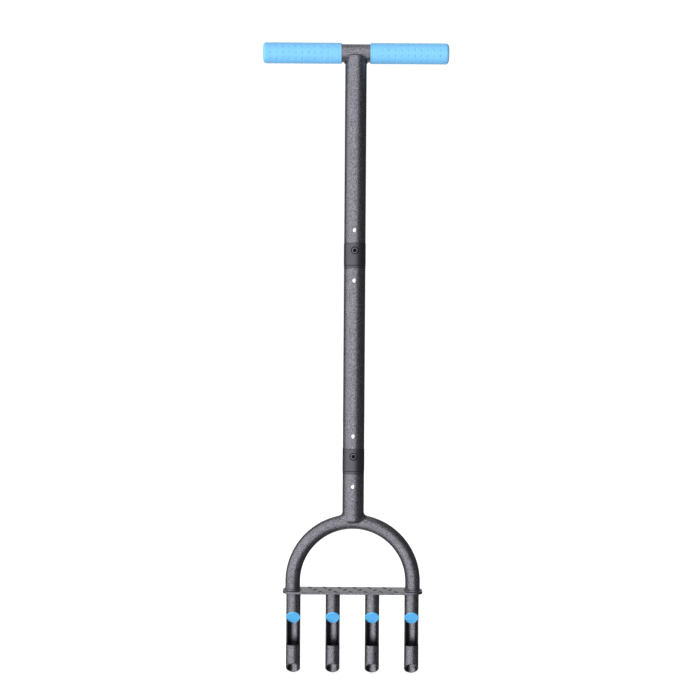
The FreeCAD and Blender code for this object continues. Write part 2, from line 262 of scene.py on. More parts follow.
def lofted(points, joined=False):
    """A shell through rings of points: an array of rings by points by three."""
    rows, columns = points.shape[:2]
    return points, [ring_cells(rows, columns, joined)]


def turned_upright(profile, centre_x=0.0, columns=96):
    """Turn a closed profile of (radius, height) about an upright axis: x = r sin t, y = -r cos t."""
    radius, height = np.array(profile).T
    turn = turns(columns)
    points = np.stack(
        [
            centre_x + radius[:, None] * np.sin(turn),
            -radius[:, None] * np.cos(turn),
            height[:, None] + 0 * turn,
        ],
        axis=-1,
    )
    return lofted(points, joined=True)


def open_edges(faces):
    """The edges that only one face uses, each as its start and end points."""
    pairs = np.stack([faces.ravel(), np.roll(faces, -1, axis=1).ravel()], axis=1)
    _, first, uses = np.unique(np.sort(pairs, axis=1), axis=0, return_index=True, return_counts=True)
    lone = pairs[first[uses == 1]]
    return lone[:, 0], lone[:, 1]


def thick_shell(outer, inner, faces):
    """Two layers of one wall, the inner one turned over, with a strip of quads along each open edge."""
    start, end = open_edges(faces)
    rim = np.stack([end, start, start + len(outer), end + len(outer)], axis=-1)
    return np.concatenate([outer, inner]), [faces, faces[:, ::-1] + len(outer), rim]


# ---- walls with holes -----------------------------------------------------------------


def row_heights(low, high, centres):
    """Heights of a wall's rows, close together beside each hole, and each hole's first and last row."""
    heights = np.array([low])
    bands = []
    for centre in centres:
        start = centre - HOLE_HALF_HEIGHT
        steps = int((start - heights[-1]) / LONG_STEP) + 2
        heights = np.append(heights, np.linspace(heights[-1], start, steps)[1:])
        first = len(heights) - 1
        end = centre + HOLE_HALF_HEIGHT
        heights = np.append(heights, np.linspace(start, end, HOLE_ROWS + 1)[1:])
        bands.append((first, len(heights) - 1))
    steps = int((high - heights[-1]) / LONG_STEP) + 2
    heights = np.append(heights, np.linspace(heights[-1], high, steps)[1:])
    return heights, bands


def round_outline(radius):
    """The same distance for every angle."""
    return lambda aim: np.full_like(aim, radius)


def hole_border(band, column, columns):
    """Row and column numbers once round the block of cells that a hole takes out of a wall."""
    across = np.arange(-HOLE_HALF_COLUMNS, HOLE_HALF_COLUMNS + 1)
    up = np.arange(band[0], band[1] + 1)
    beside = np.full(len(up) - 1, HOLE_HALF_COLUMNS)
    along = np.full(len(across) - 1, 1)
    row = np.concatenate([along * up[0], up[:-1], along * up[-1], up[:0:-1]])
    place = np.concatenate([across[:-1], beside, across[:0:-1], -beside])
    return row, (column + place) % columns


def wall_faces(rows, columns, holes, rings):
    """Quads of an upright wall with blocks left out, each filled with rings of quads round a hole."""
    number = np.arange(rows * columns).reshape(rows, columns)
    cells = ring_cells(rows, columns).reshape(rows - 1, columns, 4)
    kept = np.ones((rows - 1, columns), bool)
    blocks = []
    used = rows * columns
    for band, column in holes:
        taken = (column + np.arange(-HOLE_HALF_COLUMNS, HOLE_HALF_COLUMNS)) % columns
        kept[np.ix_(np.arange(band[0], band[1]), taken)] = False
        border = number[hole_border(band, column, columns)]
        fresh = used + np.arange(rings * len(border)).reshape(rings, -1)
        ring = np.vstack([border, fresh])
        beside = np.roll(ring, -1, axis=1)
        blocks.append(np.stack([ring[:-1], beside[:-1], beside[1:], ring[1:]], axis=-1).reshape(-1, 4))
        used += rings * len(border)
    return np.concatenate([cells[kept]] + blocks)


def wall_points(radius, heights, holes, centres, outline, rings, steps=()):
    """Points of one layer: rows of circles, then each hole's rings, which go from the border of its
    block to its outline in even shares; steps adds rings of a given outline at a given depth."""
    columns = heights.shape[1]
    turn = turns(columns)
    circles = np.broadcast_arrays(radius * np.sin(turn), -radius * np.cos(turn), heights)
    grid = np.stack(circles, axis=-1)
    parts = [grid.reshape(-1, 3)]
    for (band, column), centre in zip(holes, centres):
        side = -1.0 if column == 0 else 1.0
        border = grid[hole_border(band, column, columns)]
        aim = np.arctan2(border[:, 2] - centre, border[:, 0])
        share = np.linspace(0, 1, rings - len(steps) + 1)[1:, None]
        across = border[:, 0] + share * (outline(aim) * np.cos(aim) - border[:, 0])
        up = border[:, 2] + share * (centre + outline(aim) * np.sin(aim) - border[:, 2])
        reach = np.max(np.hypot(border[:, 0], border[:, 1]))
        deep = side * np.sqrt(reach**2 - across**2)
        parts.append(np.stack([across, deep, up], axis=-1).reshape(-1, 3))
        for step_outline, depth in steps:
            length = step_outline(aim)
            step = [length * np.cos(aim), np.full_like(aim, depth), centre + length * np.sin(aim)]
            parts.append(np.stack(step, axis=-1))
    return np.concatenate(parts)


def drilled_tube(radius, bore, low, high, rivet_heights, top=None, bottom=None, cope=0.0):
    """A tube with a rivet hole through its front at each height, as a closed shell.

    Within cope of an end, the rows run evenly from the last level row to the end's own height,
    which top or bottom gives from x and y.
    """
    level_low = low + cope if bottom else low
    level_high = high - cope if top else high
    heights, bands = row_heights(level_low, level_high, rivet_heights)
    fine = 14
    if bottom:
        heights = np.append(np.linspace(low, level_low, fine)[:-1], heights)
        bands = [(first + fine - 1, last + fine - 1) for first, last in bands]
    if top:
        heights = np.append(heights, np.linspace(level_high, high, fine)[1:])
    holes = [(band, 0) for band in bands]
    outline = round_outline(rivet_shank)
    rings = 5
    layers = []
    for layer_radius in (radius, bore):
        turn = turns(WALL_COLUMNS)
        x, y = layer_radius * np.sin(turn), -layer_radius * np.cos(turn)
        level = heights[:, None] + 0 * turn
        if top:
            share = np.clip((level - level_high) / cope, 0, 1)
            level = np.where(level > level_high, level_high + share * (top(x, y) - level_high), level)
        if bottom:
            share = np.clip((level_low - level) / cope, 0, 1)
            level = np.where(level < level_low, level_low + share * (bottom(x, y) - level_low), level)
        layers.append(wall_points(layer_radius, level, holes, rivet_heights, outline, rings))
    faces = wall_faces(len(heights), WALL_COLUMNS, holes, rings)
    return thick_shell(layers[0], layers[1], faces)


# ---- shaft ----------------------------------------------------------------------------


def under_crossbar(x, y):
    """Height of the upper tube's end: the underside of the bar, or the level top beside it."""
    drop = np.sqrt(np.maximum(bar_radius**2 - y**2, 0))
    return np.minimum(high_of("upper_tube")[2], bar_height - drop) + 0 * x


def over_arch(x, y):
    """Height of the lower tube's end: the top of the arch, or the level bottom in front of it."""
    half = np.sqrt(np.maximum(arch_tube_radius**2 - y**2, 0))
    reach = np.sqrt(np.maximum((arch_radius + half) ** 2 - x**2, 0))
    return np.maximum(low_of("lower_tube")[2], arch_centre + reach)


def shaft_tubes(paint):
    """The three lengths of shaft, each with a rivet hole near every end that holds nylon."""
    for node, rivet_at_low, rivet_at_high, ends in (
        ("middle_tube", True, True, {}),
        ("upper_tube", True, False, {"top": under_crossbar, "cope": 16 * MM}),
        ("lower_tube", False, True, {"bottom": over_arch, "cope": 14 * MM}),
    ):
        low, high = low_of(node)[2], high_of(node)[2]
        rivets = []
        if rivet_at_low:
            rivets.append(low + rivet_inset)
        if rivet_at_high:
            rivets.append(high - rivet_inset)
        tube = drilled_tube(shaft_radius, shaft_bore, low, high, rivets, **ends)
        make_piece(node + "_painted", [tube], paint, [node], bevel=0.25 * MM)


def collar_shell(low, high, screw_height):
    """The collar of a socket: an outside with chamfered rims and a stepped screw hole, and a bore."""
    middle, bands = row_heights(low + 2 * rim_chamfer, high - 2 * rim_chamfer, [screw_height])
    heights = np.concatenate([[low, low + rim_chamfer], middle, [high - rim_chamfer, high]])
    radius = np.full(len(heights), collar_radius)
    radius[[0, -1]] = collar_radius - rim_chamfer
    band = (bands[0][0] + 2, bands[0][1] + 2)
    holes = [(band, 0)]
    level = heights[:, None] + np.zeros(WALL_COLUMNS)
    rings = 8
    steps = [
        (round_outline(counterbore_radius), counterbore_floor),
        (round_outline(shank_hole_radius), counterbore_floor),
    ]
    outside = wall_points(
        radius[:, None], level, holes, [screw_height], round_outline(counterbore_radius), rings, steps
    )
    inside = wall_points(
        socket_bore, level, holes, [screw_height], round_outline(shank_hole_radius), rings
    )
    return thick_shell(outside, inside, wall_faces(len(heights), WALL_COLUMNS, holes, rings))


def sockets(nylon, shaded):
    """The nylon collars with their spigots, which stand up inside the tubes above them."""
    for node, tube in (("lower_socket", "middle_tube"), ("upper_socket", "upper_tube")):
        collar_top = low_of(tube)[2]
        screw = collar_top - screw_drop
        collar = collar_shell(low_of(node)[2], collar_top, screw)
        rivets = [collar_top + rivet_inset]
        spigot = drilled_tube(spigot_radius, spigot_bore, collar_top, high_of(node)[2], rivets)
        web = turned_upright(
            [
                (socket_bore, collar_top),
                (spigot_bore, collar_top),
                (spigot_bore, collar_top + web_thickness),
                (socket_bore, collar_top + web_thickness),
            ]
        )

        def in_counterbore(x, y, z, screw=screw):
            near = np.hypot(x, z - screw) < counterbore_radius + 0.1 * MM
            return near & (y < 0) & (y > 0.45 * MM - collar_radius)

        # The counterbore round each screw head takes the shaded material, a painted shade.
        make_piece(
            node + "_moulded", [collar, spigot, web], nylon, [node], bevel=0.15 * MM,
            recess=(shaded, in_counterbore),
        )


def keyed_outline(columns):
    """Once round the stem with its keyway: across the flat floor, out along each side, then round."""
    floor = keyway_depth - stem_radius
    flat = 16
    across = np.linspace(-keyway_half_width, keyway_half_width, flat)
    start = math.asin(keyway_half_width / stem_radius)
    turn = np.linspace(start, 2 * np.pi - start, columns - flat)
    x = np.concatenate([across, stem_radius * np.sin(turn)])
    y = np.concatenate([np.full(flat, floor), -stem_radius * np.cos(turn)])
    return x, y


def plain_outline(columns, radius):
    """Once round a circle whose points stand opposite those of the keyed outline."""
    x, y = keyed_outline(columns)
    turn = np.arctan2(x, -y)
    return radius * np.sin(turn), -radius * np.cos(turn)


def stem_shell(joint, tip, keyway_low):
    """The stem above a ring: round up to the keyway's end, keyed above it, with a round bore."""
    columns = 96
    keyed = keyed_outline(columns)
    round_out = plain_outline(columns, stem_radius)
    bore = plain_outline(columns, stem_bore)
    tapered = (keyed[0] * (1 - rim_chamfer / stem_radius), keyed[1] * (1 - rim_chamfer / stem_radius))
    rings = [
        (bore, joint),
        (round_out, joint),
        (round_out, keyway_low),
        (keyed, keyway_low),
        (keyed, tip - rim_chamfer),
        (tapered, tip),
        (bore, tip),
    ]
    points = [np.stack([x, y, np.full(columns, height)], axis=-1) for (x, y), height in rings]
    return lofted(np.stack(points), joined=True)


def stems(nylon):
    """The nylon rings on the tubes' tops, each with a stem above it and a hollow plug below it."""
    for node, tube, collar in (
        ("lower_stem", "lower_tube", "lower_socket"),
        ("upper_stem", "middle_tube", "upper_socket"),
    ):
        tube_top = high_of(tube)[2]
        joint = tube_top + ring_height
        ring = turned_upright(
            [
                (stem_bore, tube_top - web_thickness),
                (spigot_bore, tube_top - web_thickness),
                (spigot_bore, tube_top),
                (ring_radius - rim_chamfer, tube_top),
                (ring_radius, tube_top + rim_chamfer),
                (ring_radius, joint - rim_chamfer),
                (ring_radius - rim_chamfer, joint),
                (stem_bore, joint),
            ]
        )
        screw_height = high_of(collar)[2] - spigot_height - screw_drop
        stem = stem_shell(joint, high_of(node)[2], screw_height - keyway_half_width)
        rivets = [tube_top - rivet_inset]
        plug = drilled_tube(spigot_radius, spigot_bore, low_of(node)[2], tube_top, rivets)
        make_piece(node + "_moulded", [ring, stem, plug], nylon, [node], bevel=0.15 * MM)


def rivets(alloy):
    """Blind rivets: a domed head with a dished middle, a shank through both walls, and a flat tail.

    The dome's depth is the ball's: the root of its radius squared less the distance squared.  The
    head's rim and underside follow the tube, whose front lies at the root of R squared less x squared.
    """
    columns = 64
    turn = turns(columns)
    ones = np.ones(columns)
    for node in ("lower_stem_rivet", "lower_socket_rivet", "upper_stem_rivet", "upper_socket_rivet"):
        front, back = low_of(node)[1], high_of(node)[1]
        height = (low_of(node)[2] + high_of(node)[2]) / 2
        rise = -shaft_radius - front
        ball = (rivet_head**2 + rise**2) / (2 * rise)
        swell = np.linspace(rivet_pin, rivet_head - 0.25 * MM, 10)
        dome = front + ball - np.sqrt(ball**2 - swell**2)
        dish = front + rivet_dish
        rings = [(0, dish), (rivet_pin - 0.25 * MM, dish), (rivet_pin - 0.05 * MM, dome[0] + 0.05 * MM)]
        rings += list(zip(swell, dome))
        rings += [(rivet_head - 0.05 * MM, dome[-1] + 0.14 * MM), (rivet_head, None)]
        rings += [(rivet_shank, None), (rivet_shank, -spigot_bore), (rivet_tail, -spigot_bore)]
        rings += [(rivet_tail, back - rivet_tail_round), (rivet_tail - rivet_tail_round, back), (0, back)]
        points = []
        for radius, y in rings:
            x = radius * np.cos(turn)
            deep = -np.sqrt(shaft_radius**2 - x**2) if y is None else y * ones
            points.append(np.stack([x, deep, height + radius * np.sin(turn)], axis=-1))
        shell = lofted(np.stack(points))
        make_piece(node + "_set", [shell], alloy, [node], sharp_angle=40)


def polygon_outline(columns, flats, sides):
    """Distance from the middle to a regular polygon's side, at even angles from one corner."""
    sector = 2 * np.pi / sides
    turn = np.mod(turns(columns), sector) - sector / 2
    return flats / 2 / np.cos(turn)


def screws(steel, shaded):
    """Low round screw heads with a hexagonal key hole, and their plain shanks."""
    columns = 96
    turn = turns(columns)
    circle = np.ones(columns)
    hexagon = polygon_outline(columns, key_flats, 6)
    for node in ("lower_screw", "upper_screw"):
        front, back = low_of(node)[1], high_of(node)[1]
        height = (low_of(node)[2] + high_of(node)[2]) / 2
        rings = [
            (0 * circle, back),
            ((shank_radius - 0.4 * MM) * circle, back),
            (shank_radius * circle, back - 0.4 * MM),
            (shank_radius * circle, counterbore_floor),
            (head_radius * circle, counterbore_floor),
            (head_radius * circle, front + 0.7 * MM),
            ((head_radius - 0.25 * MM) * circle, front + 0.2 * MM),
            ((head_radius - 0.8 * MM) * circle, front),
            (hexagon + 0.25 * MM, front),
            (hexagon, front + 0.25 * MM),
            (hexagon, front + key_depth),
            (0 * circle, front + key_depth + 0.5 * MM),
        ]
        points = [
            np.stack([radius * np.cos(turn), np.full(columns, y), height + radius * np.sin(turn)], axis=-1)
            for radius, y in rings
        ]

        def in_key_hole(x, y, z, front=front, height=height):
            near = np.hypot(x, z - height) < head_radius - 1.7 * MM
            return near & (y > front + 0.1 * MM) & (y < front + 2.2 * MM)

        shell = lofted(np.stack(points))
        # The hexagonal key hole takes the shaded material, a painted shade.
        make_piece(
            node + "_turned", [shell], steel, [node], sharp_angle=30, recess=(shaded, in_key_hole)
        )


# ---- handle ---------------------------------------------------------------------------


def turned_sideways(radius, place, columns):
    """Turn rows of radii about the crossbar's axis: y = -r cos t, z = bar height - r sin t."""
    turn = turns(columns)
    x = place[:, None] + 0 * turn
    y = -radius * np.cos(turn)
    z = bar_height - radius * np.sin(turn)
    return np.stack(np.broadcast_arrays(x, y, z), axis=-1)


def crossbar(paint):
    """The cross tube: outside, square ends and bore."""
    end = high_of("crossbar_tube")[0]
    place = np.concatenate([[-end], np.linspace(-end, end, 25), [end], np.linspace(end, -end, 2)])
    radius = np.concatenate([[bar_bore], np.full(25, bar_radius), [bar_bore], [bar_bore, bar_bore]])
    points = turned_sideways(radius[:, None], place, 128)
    make_piece("crossbar_painted", [lofted(points, joined=True)], paint, ["crossbar_tube"])


def dimple_bump(along, turn, phase):
    """Depth of the nearest round dimple: one less the square of the distance to its middle, in radii.

    Middles stand in a square grid, along the grip at one pitch and round it at even angles.
    """
    column = np.clip(np.round((along - first_dimple) / dimple_pitch), 0, dimple_columns - 1)
    beside = along - first_dimple - column * dimple_pitch
    sector = 2 * np.pi / dimple_rows
    around = (np.mod(turn - phase + sector / 2, sector) - sector / 2) * grip_radius
    share = (beside**2 + around**2) / dimple_radius**2
    return np.maximum(1 - share, 0) ** 0.75


def grips(rubber):
    """Rubber sleeves with rows of dimples, a plain cuff with a groove, and a rounded closed end."""
    columns = 200
    turn = turns(columns)
    quarter = np.linspace(0, np.pi / 2, 7)
    lip_along = grip_lip_round * (1 - np.cos(quarter))
    lip_radius = grip_radius - grip_lip_round * (1 - np.sin(quarter))
    straight = np.linspace(grip_lip_round, grip_length - grip_end_round, 230)[1:-1]
    end_along = grip_length - grip_end_round * (1 - np.sin(quarter))
    end_radius = grip_radius - grip_end_round * (1 - np.cos(quarter))
    cap = np.linspace(end_radius[-1], 0, 12)[1:]
    cap_along = grip_length - 0.35 * MM * np.exp(-(((cap - 8 * MM) / (0.8 * MM)) ** 2))
    along = np.concatenate([[18 * MM, 0], lip_along, straight, end_along, cap_along])
    bore = bar_radius + 0.05 * MM
    radius = np.concatenate(
        [[bore, bore], lip_radius, np.full(len(straight), grip_radius), end_radius, cap]
    )
    groove = 0.45 * MM * np.exp(-(((along - 3.4 * MM) / (0.55 * MM)) ** 2))
    on_side = radius > grip_radius - 0.01 * MM
    for node, side, phase in (("left_grip", -1, 9.0), ("right_grip", 1, -9.0)):
        dimples = dimple_depth * dimple_bump(along[:, None], turn, math.radians(phase))
        depth = np.where(on_side[:, None], dimples + groove[:, None], 0)
        points = turned_sideways(radius[:, None] - depth, side * (grip_inner_end + along), columns)
        make_piece(node + "_moulded", [lofted(points)], rubber, [node], sharp_angle=60)


# ---- fork -----------------------------------------------------------------------------


def arch(paint):
    """The bent tube: circles carried up one leg, round a half circle and down the other leg."""
    columns = 64
    swing = np.linspace(-np.pi / 2, np.pi / 2, 121)
    leg = np.linspace(plate_top, arch_centre, 5)[:-1]
    lean = np.concatenate([np.full(4, -np.pi / 2), swing, np.full(4, np.pi / 2)])
    base = np.concatenate([leg, np.full(len(swing), arch_centre), leg[::-1]])
    turn = turns(columns)
    reach = arch_radius + arch_tube_radius * np.cos(turn)
    x = reach * np.sin(lean)[:, None]
    y = arch_tube_radius * np.sin(turn) + 0 * x
    z = base[:, None] + reach * np.cos(lean)[:, None]
    points = np.stack([x, y, z], axis=-1)
    ends = [np.arange(columns)[None, ::-1], np.arange(columns)[None, :] + (len(lean) - 1) * columns]
    shell = (points, [ring_cells(len(lean), columns)] + ends)
    make_piece("arch_painted", [shell], paint, ["arch_tube"])


def lozenge_relief(x, y):
    """Height of the raised marks: a smooth step up over the flank's width, inside two crossing arcs.

    The distance inside one mark is the arcs' radius less the distance to the nearer arc's centre.
    """
    radius = (lozenge_half_length**2 + lozenge_half_width**2) / (2 * lozenge_half_width)
    offset = radius - lozenge_half_width
    relief = np.zeros(np.broadcast(x, y).shape)
    for row in (-1, 0, 1):
        lean = lozenge_lean if row == 0 else -lozenge_lean
        for column in range(lozenges_per_row):
            middle = (column - (lozenges_per_row - 1) / 2) * lozenge_pitch - row * lozenge_row_shift
            right, back = x - middle, y - row * lozenge_row_spacing
            along = right * math.cos(lean) + back * math.sin(lean)
            across = np.abs(back * math.cos(lean) - right * math.sin(lean))
            inside = radius - np.hypot(along, across + offset)
            step = np.clip(inside / lozenge_flank, 0, 1)
            relief = np.maximum(relief, lozenge_height * step * step * (3 - 2 * step))
    return relief


def plate_depth_at(x):
    """Half the plate's depth at each x: full in the middle, and on a quarter circle at its corners."""
    past = np.maximum(np.abs(x) - (plate_half_length - plate_corner), 0)
    return plate_half_depth - plate_corner + np.sqrt(np.maximum(plate_corner**2 - past**2, 0))


def foot_plate(paint):
    """The tread plate: closed sections across it, one at each of many places along it."""
    corner_swing = np.linspace(0, np.pi / 2, 24)
    corner_places = plate_half_length - plate_corner * (1 - np.sin(corner_swing))
    straight = np.linspace(0, plate_half_length - plate_corner, 168)[:-1]
    half = np.concatenate([straight, corner_places])
    place = np.concatenate([-half[:0:-1], half])
    top_columns, edge_columns, bottom_columns = 81, 8, 9
    top_share = np.linspace(-1, 1, top_columns)
    bottom_share = np.linspace(1, -1, bottom_columns)
    front_share = np.ones(edge_columns)
    share = np.concatenate([top_share, front_share, bottom_share, -front_share])
    round_swing = np.linspace(0, np.pi / 2, 5)[1:-1]
    edge_out = np.concatenate([np.sin(round_swing), [1.0, 1.0], np.cos(round_swing)])
    outward = np.concatenate([np.zeros(top_columns), edge_out, np.zeros(bottom_columns), -edge_out])
    depth = plate_depth_at(place)[:, None] - plate_edge
    y = depth * share + plate_edge * outward
    thickness = plate_top - plate_bottom
    curve = plate_edge * (1 - np.cos(round_swing))
    edge_drop = np.concatenate([curve, [plate_edge, thickness - plate_edge], thickness - curve[::-1]])
    bottom_drop = np.full(bottom_columns, thickness)
    drop = np.concatenate([np.zeros(top_columns), edge_drop, bottom_drop, edge_drop[::-1]])
    x = place[:, None] + 0 * y
    z = plate_top - drop + 0 * y
    z[:, :top_columns] += lozenge_relief(x[:, :top_columns], y[:, :top_columns])
    points = np.stack([x, y, z], axis=-1)
    rows, columns = points.shape[:2]
    ends = [np.arange(columns)[None, ::-1], np.arange(columns)[None, :] + (rows - 1) * columns]
    shell = (points, [ring_cells(rows, columns)] + ends)
    make_piece("tread_plate_painted", [shell], paint, ["foot_plate"], sharp_angle=50)


# ---- welds ----------------------------------------------------------------------------


def weld_ripple(turn, around, seed):
    """Uneven height of a bead, about nought: waves of several lengths along it, skewed across it."""
    chance = np.random.default_rng(seed)
    relief = np.zeros(np.broadcast(turn, around).shape)
    for waves, share in ((3, 0.30), (7, 0.28), (13, 0.24), (24, 0.34), (31, 0.22), (47, 0.12)):
        start, skew = chance.uniform(0, 2 * np.pi), chance.uniform(-1.2, 1.2)
        relief = relief + share * np.cos(waves * turn + start + skew * around)
    return relief


def fillet_bead(upper, lower, outward, bulge, roughness, seed):
    """A weld between two closed lines: shares of the way from one to the other, bulged outwards.

    The bulge is the sine of half a turn over the way across, and the ripple is scaled by the same.
    """
    rows = 14
    columns = len(upper)
    turn = turns(columns)
    share = np.linspace(0, 1, rows)[:, None]
    swell = np.sin(np.pi * share)
    height = swell * (bulge + roughness * weld_ripple(turn, share * np.pi, seed))
    points = upper + share[..., None] * (lower - upper) + height[..., None] * outward
    return points


def closed_bead(surface, core):
    """Close a bead's surface with a line of points that lies inside the metal behind it."""
    return lofted(np.concatenate([surface, core[None]]), joined=True)


def ring_weld(centre_x, radius, height, leg, upwards, seed):
    """A bead round an upright tube where it meets a flat face: a fillet with equal legs."""
    turn = turns(160)
    side = np.stack([np.sin(turn), -np.cos(turn), 0 * turn], axis=-1)
    up = np.array([0, 0, 1.0 if upwards else -1.0])
    centre = np.array([centre_x, 0, height])
    wander = 1 + 0.10 * weld_ripple(turn, 0 * turn, seed + 50)[:, None]
    on_tube = centre + radius * side + leg * wander * up
    on_face = centre + (radius + leg * wander) * side
    core = centre + (radius - 0.3 * MM) * side
    outward = (side + up) / math.sqrt(2)
    surface = fillet_bead(on_tube, on_face, outward, 0.18 * leg, 0.10 * leg, seed)
    return closed_bead(surface, core)


def leg_and_tine_welds(paint):
    """The beads round the arch's legs on the plate, and round the tines under it."""
    legs = []
    for number, side in enumerate((-1, 1)):
        place = side * arch_radius
        legs.append(ring_weld(place, arch_tube_radius, plate_top, leg_weld_size, True, 11 + number))
    make_piece("leg_welds_painted", legs, paint, ["leg_welds"], sharp_angle=80)
    under = []
    for number, place in enumerate(tine_places):
        under.append(ring_weld(place, tine_radius, plate_bottom, tine_weld_size, False, 21 + number))
    make_piece("tine_welds_painted", under, paint, ["tine_welds"], sharp_angle=80)


def shoulder_weld(paint):
    """The bead that carries the lower tube over into the arch.

    Each section is a quadratic Bezier curve: (1-s) squared of a point on the tube, 2s(1-s) of a
    corner point and s squared of a point on the arch.  In front and behind, the corner stands out
    at the tube's end, and at the sides it lies in the angle between tube and arch.
    """
    turn = turns(240)
    front_share = np.cos(turn) ** 2
    side = np.stack([np.sin(turn), -np.cos(turn), 0 * turn], axis=-1)
    up = np.array([0, 0, 1.0])
    tube_end = low_of("lower_tube")[2]
    wander = 1 + 0.08 * weld_ripple(turn, 0 * turn, 31)
    on_tube = (shaft_radius - 0.03 * MM) * side
    taller = shoulder_weld_side_rise - shoulder_weld_front_rise
    rise = (shoulder_weld_front_rise + taller * (1 - front_share)) * wander
    on_tube = on_tube + (tube_end + rise)[:, None] * up
    corner = (shaft_radius + (0.1 + 0.3 * front_share) * MM)[:, None] * side
    corner = corner + (tube_end + (-0.4 + 8.0 * (1 - front_share)) * MM)[:, None] * up
    round_arch = math.radians(98) * np.cos(turn)
    reach = arch_radius + arch_tube_radius * np.cos(round_arch)
    across = (shaft_radius + shoulder_weld_spread * wander) * np.sin(turn)
    depth = -arch_tube_radius * np.sin(round_arch)
    on_arch = np.stack([across, depth, arch_centre + np.sqrt(reach**2 - across**2)], axis=-1)
    share = np.linspace(0, 1, 22)[:, None, None]
    surface = (1 - share) ** 2 * on_tube + 2 * share * (1 - share) * corner + share**2 * on_arch
    swell = np.sin(np.pi * share)
    ripple = 0.16 * MM * weld_ripple(turn, share[..., 0] * np.pi, 32)[..., None]
    outward = side * 0.9 - 0.2 * front_share[:, None] * up
    surface = surface + swell * ripple * outward
    core_height = tube_end + (1.5 + 7.5 * (1 - front_share)) * MM
    core = (shaft_radius - 0.8 * MM) * side + core_height[:, None] * up
    shell = closed_bead(surface, core)
    make_piece("shoulder_weld_painted", [shell], paint, ["shoulder_weld"], sharp_angle=80)


def handle_weld(paint):
    """The bead round the upper tube's saddle under the crossbar, thickest on its level tongues."""
    turn = turns(240)
    side = np.stack([np.sin(turn), -np.cos(turn), 0 * turn], axis=-1)
    wander = 1 + 0.16 * weld_ripple(turn, 0 * turn, 41)
    leg = handle_weld_size * wander
    x, y = shaft_radius * np.sin(turn), -shaft_radius * np.cos(turn)
    saddle = under_crossbar(x, y)
    rise = np.where(np.abs(y) < bar_radius, 0.2 * leg, 0.7 * leg)
    on_bar = saddle + rise
    inset = np.sqrt(np.maximum(bar_radius**2 - (bar_height - on_bar) ** 2, 0))
    upper_x = x * (1 + 0.35 * leg / shaft_radius)
    upper_y = np.sign(y) * np.minimum(np.abs(y), inset)
    upper_z = np.where(
        np.abs(y) < inset, bar_height - np.sqrt(np.maximum(bar_radius**2 - upper_y**2, 0)), on_bar
    )
    upper = np.stack([upper_x, upper_y, upper_z], axis=-1)
    lower = np.stack([x, y, saddle - 0.9 * leg], axis=-1)
    outward = side * 0.85 + np.array([0, 0, 0.1])
    surface = fillet_bead(upper, lower, outward, 0.9 * MM, 0.75 * MM, 42)
    core = np.stack([0.92 * x, 0.8 * y, saddle - 0.3 * MM], axis=-1)
    make_piece("handle_weld_painted", [closed_bead(surface, core)], paint, ["handle_weld"], sharp_angle=80)


# ---- tines ----------------------------------------------------------------------------


def tine_shell(centre_x):
    """A coring tube: an oblique tip, a window in its front half, and a slanted cut above that.

    Columns run over the front as far as the window's edges, where y is a little past the axis, and
    then over the back.  The tip lies on a plane that rises to the front, and so does the cut.
    """
    front, back = 64, 48
    tip_rows, window_rows, top_rows = 18, 20, 18
    tip_slope = tip_rise / (2 * tine_radius)
    cut_middle = face_middle + lip_thickness / math.cos(face_tilt)
    layers = []
    for radius in (tine_radius, tine_bore):
        edge = math.acos(-window_past_axis / radius)
        front_turn = np.linspace(-edge, edge, front + 1)
        back_turn = np.linspace(edge, 2 * np.pi - edge, back + 1)[1:-1]
        turn = np.concatenate([front_turn, back_turn])
        x, y = radius * np.sin(turn), -radius * np.cos(turn)
        tip = (tine_radius - y) * tip_slope
        sill = np.full(len(turn), window_bottom)
        cut = cut_middle - np.minimum(y, window_past_axis) * face_slope
        top = np.full(len(turn), plate_bottom)
        parts = []
        for start, end, rows in ((tip, sill, tip_rows), (sill, cut, window_rows), (cut, top, top_rows)):
            parts.append(start + np.linspace(0, 1, rows)[:, None] * (end - start))
        height = np.concatenate([parts[0], parts[1][1:], parts[2][1:]])
        layers.append(np.stack([centre_x + x + 0 * height, y + 0 * height, height], axis=-1).reshape(-1, 3))
    rows = tip_rows + window_rows + top_rows - 2
    columns = front + back
    cells = ring_cells(rows, columns).reshape(rows - 1, columns, 4)
    kept = np.ones((rows - 1, columns), bool)
    kept[tip_rows - 1 : tip_rows + window_rows - 2, :front] = False
    return thick_shell(layers[0], layers[1], cells[kept])


def plug_shell(centre_x):
    """A core plug: a slanted face with a raised rim, a lip over the window's edge, and a plain body."""
    columns = 112
    turn = turns(columns)
    lip_reach = np.clip((window_past_axis + tine_radius * np.cos(turn)) / (0.6 * MM), 0, 1)
    reach = plug_radius + (lip_radius - plug_radius) * lip_reach
    share = np.array([0, 0.2, 0.4, 0.6, 0.74, 0.82, 0.86, 0.90, 0.94, 0.97])
    sunk = 0.45 * MM * np.clip((0.90 - share) / 0.08, 0, 1)
    rise = lip_thickness / math.cos(face_tilt)
    rings = []
    for portion, depth in zip(share, sunk):
        rings.append((portion * reach, depth, True))
    rings.append((reach - 0.08 * MM, 0.04 * MM, True))
    rings.append((reach, 0.30 * MM, True))
    rings.append((reach, rise - 0.15 * MM, True))
    rings.append((reach - 0.15 * MM, rise, True))
    rings.append((np.full(columns, plug_radius), rise, True))
    rings.append((np.full(columns, plug_radius), plug_top, False))
    rings.append((np.zeros(columns), plug_top, False))
    points = []
    for radius, level, slanted in rings:
        x, y = radius * np.sin(turn), -radius * np.cos(turn)
        height = face_middle - y * face_slope + level if slanted else np.full(columns, level)
        points.append(np.stack([centre_x + x, y, height], axis=-1))
    return lofted(np.stack(points))


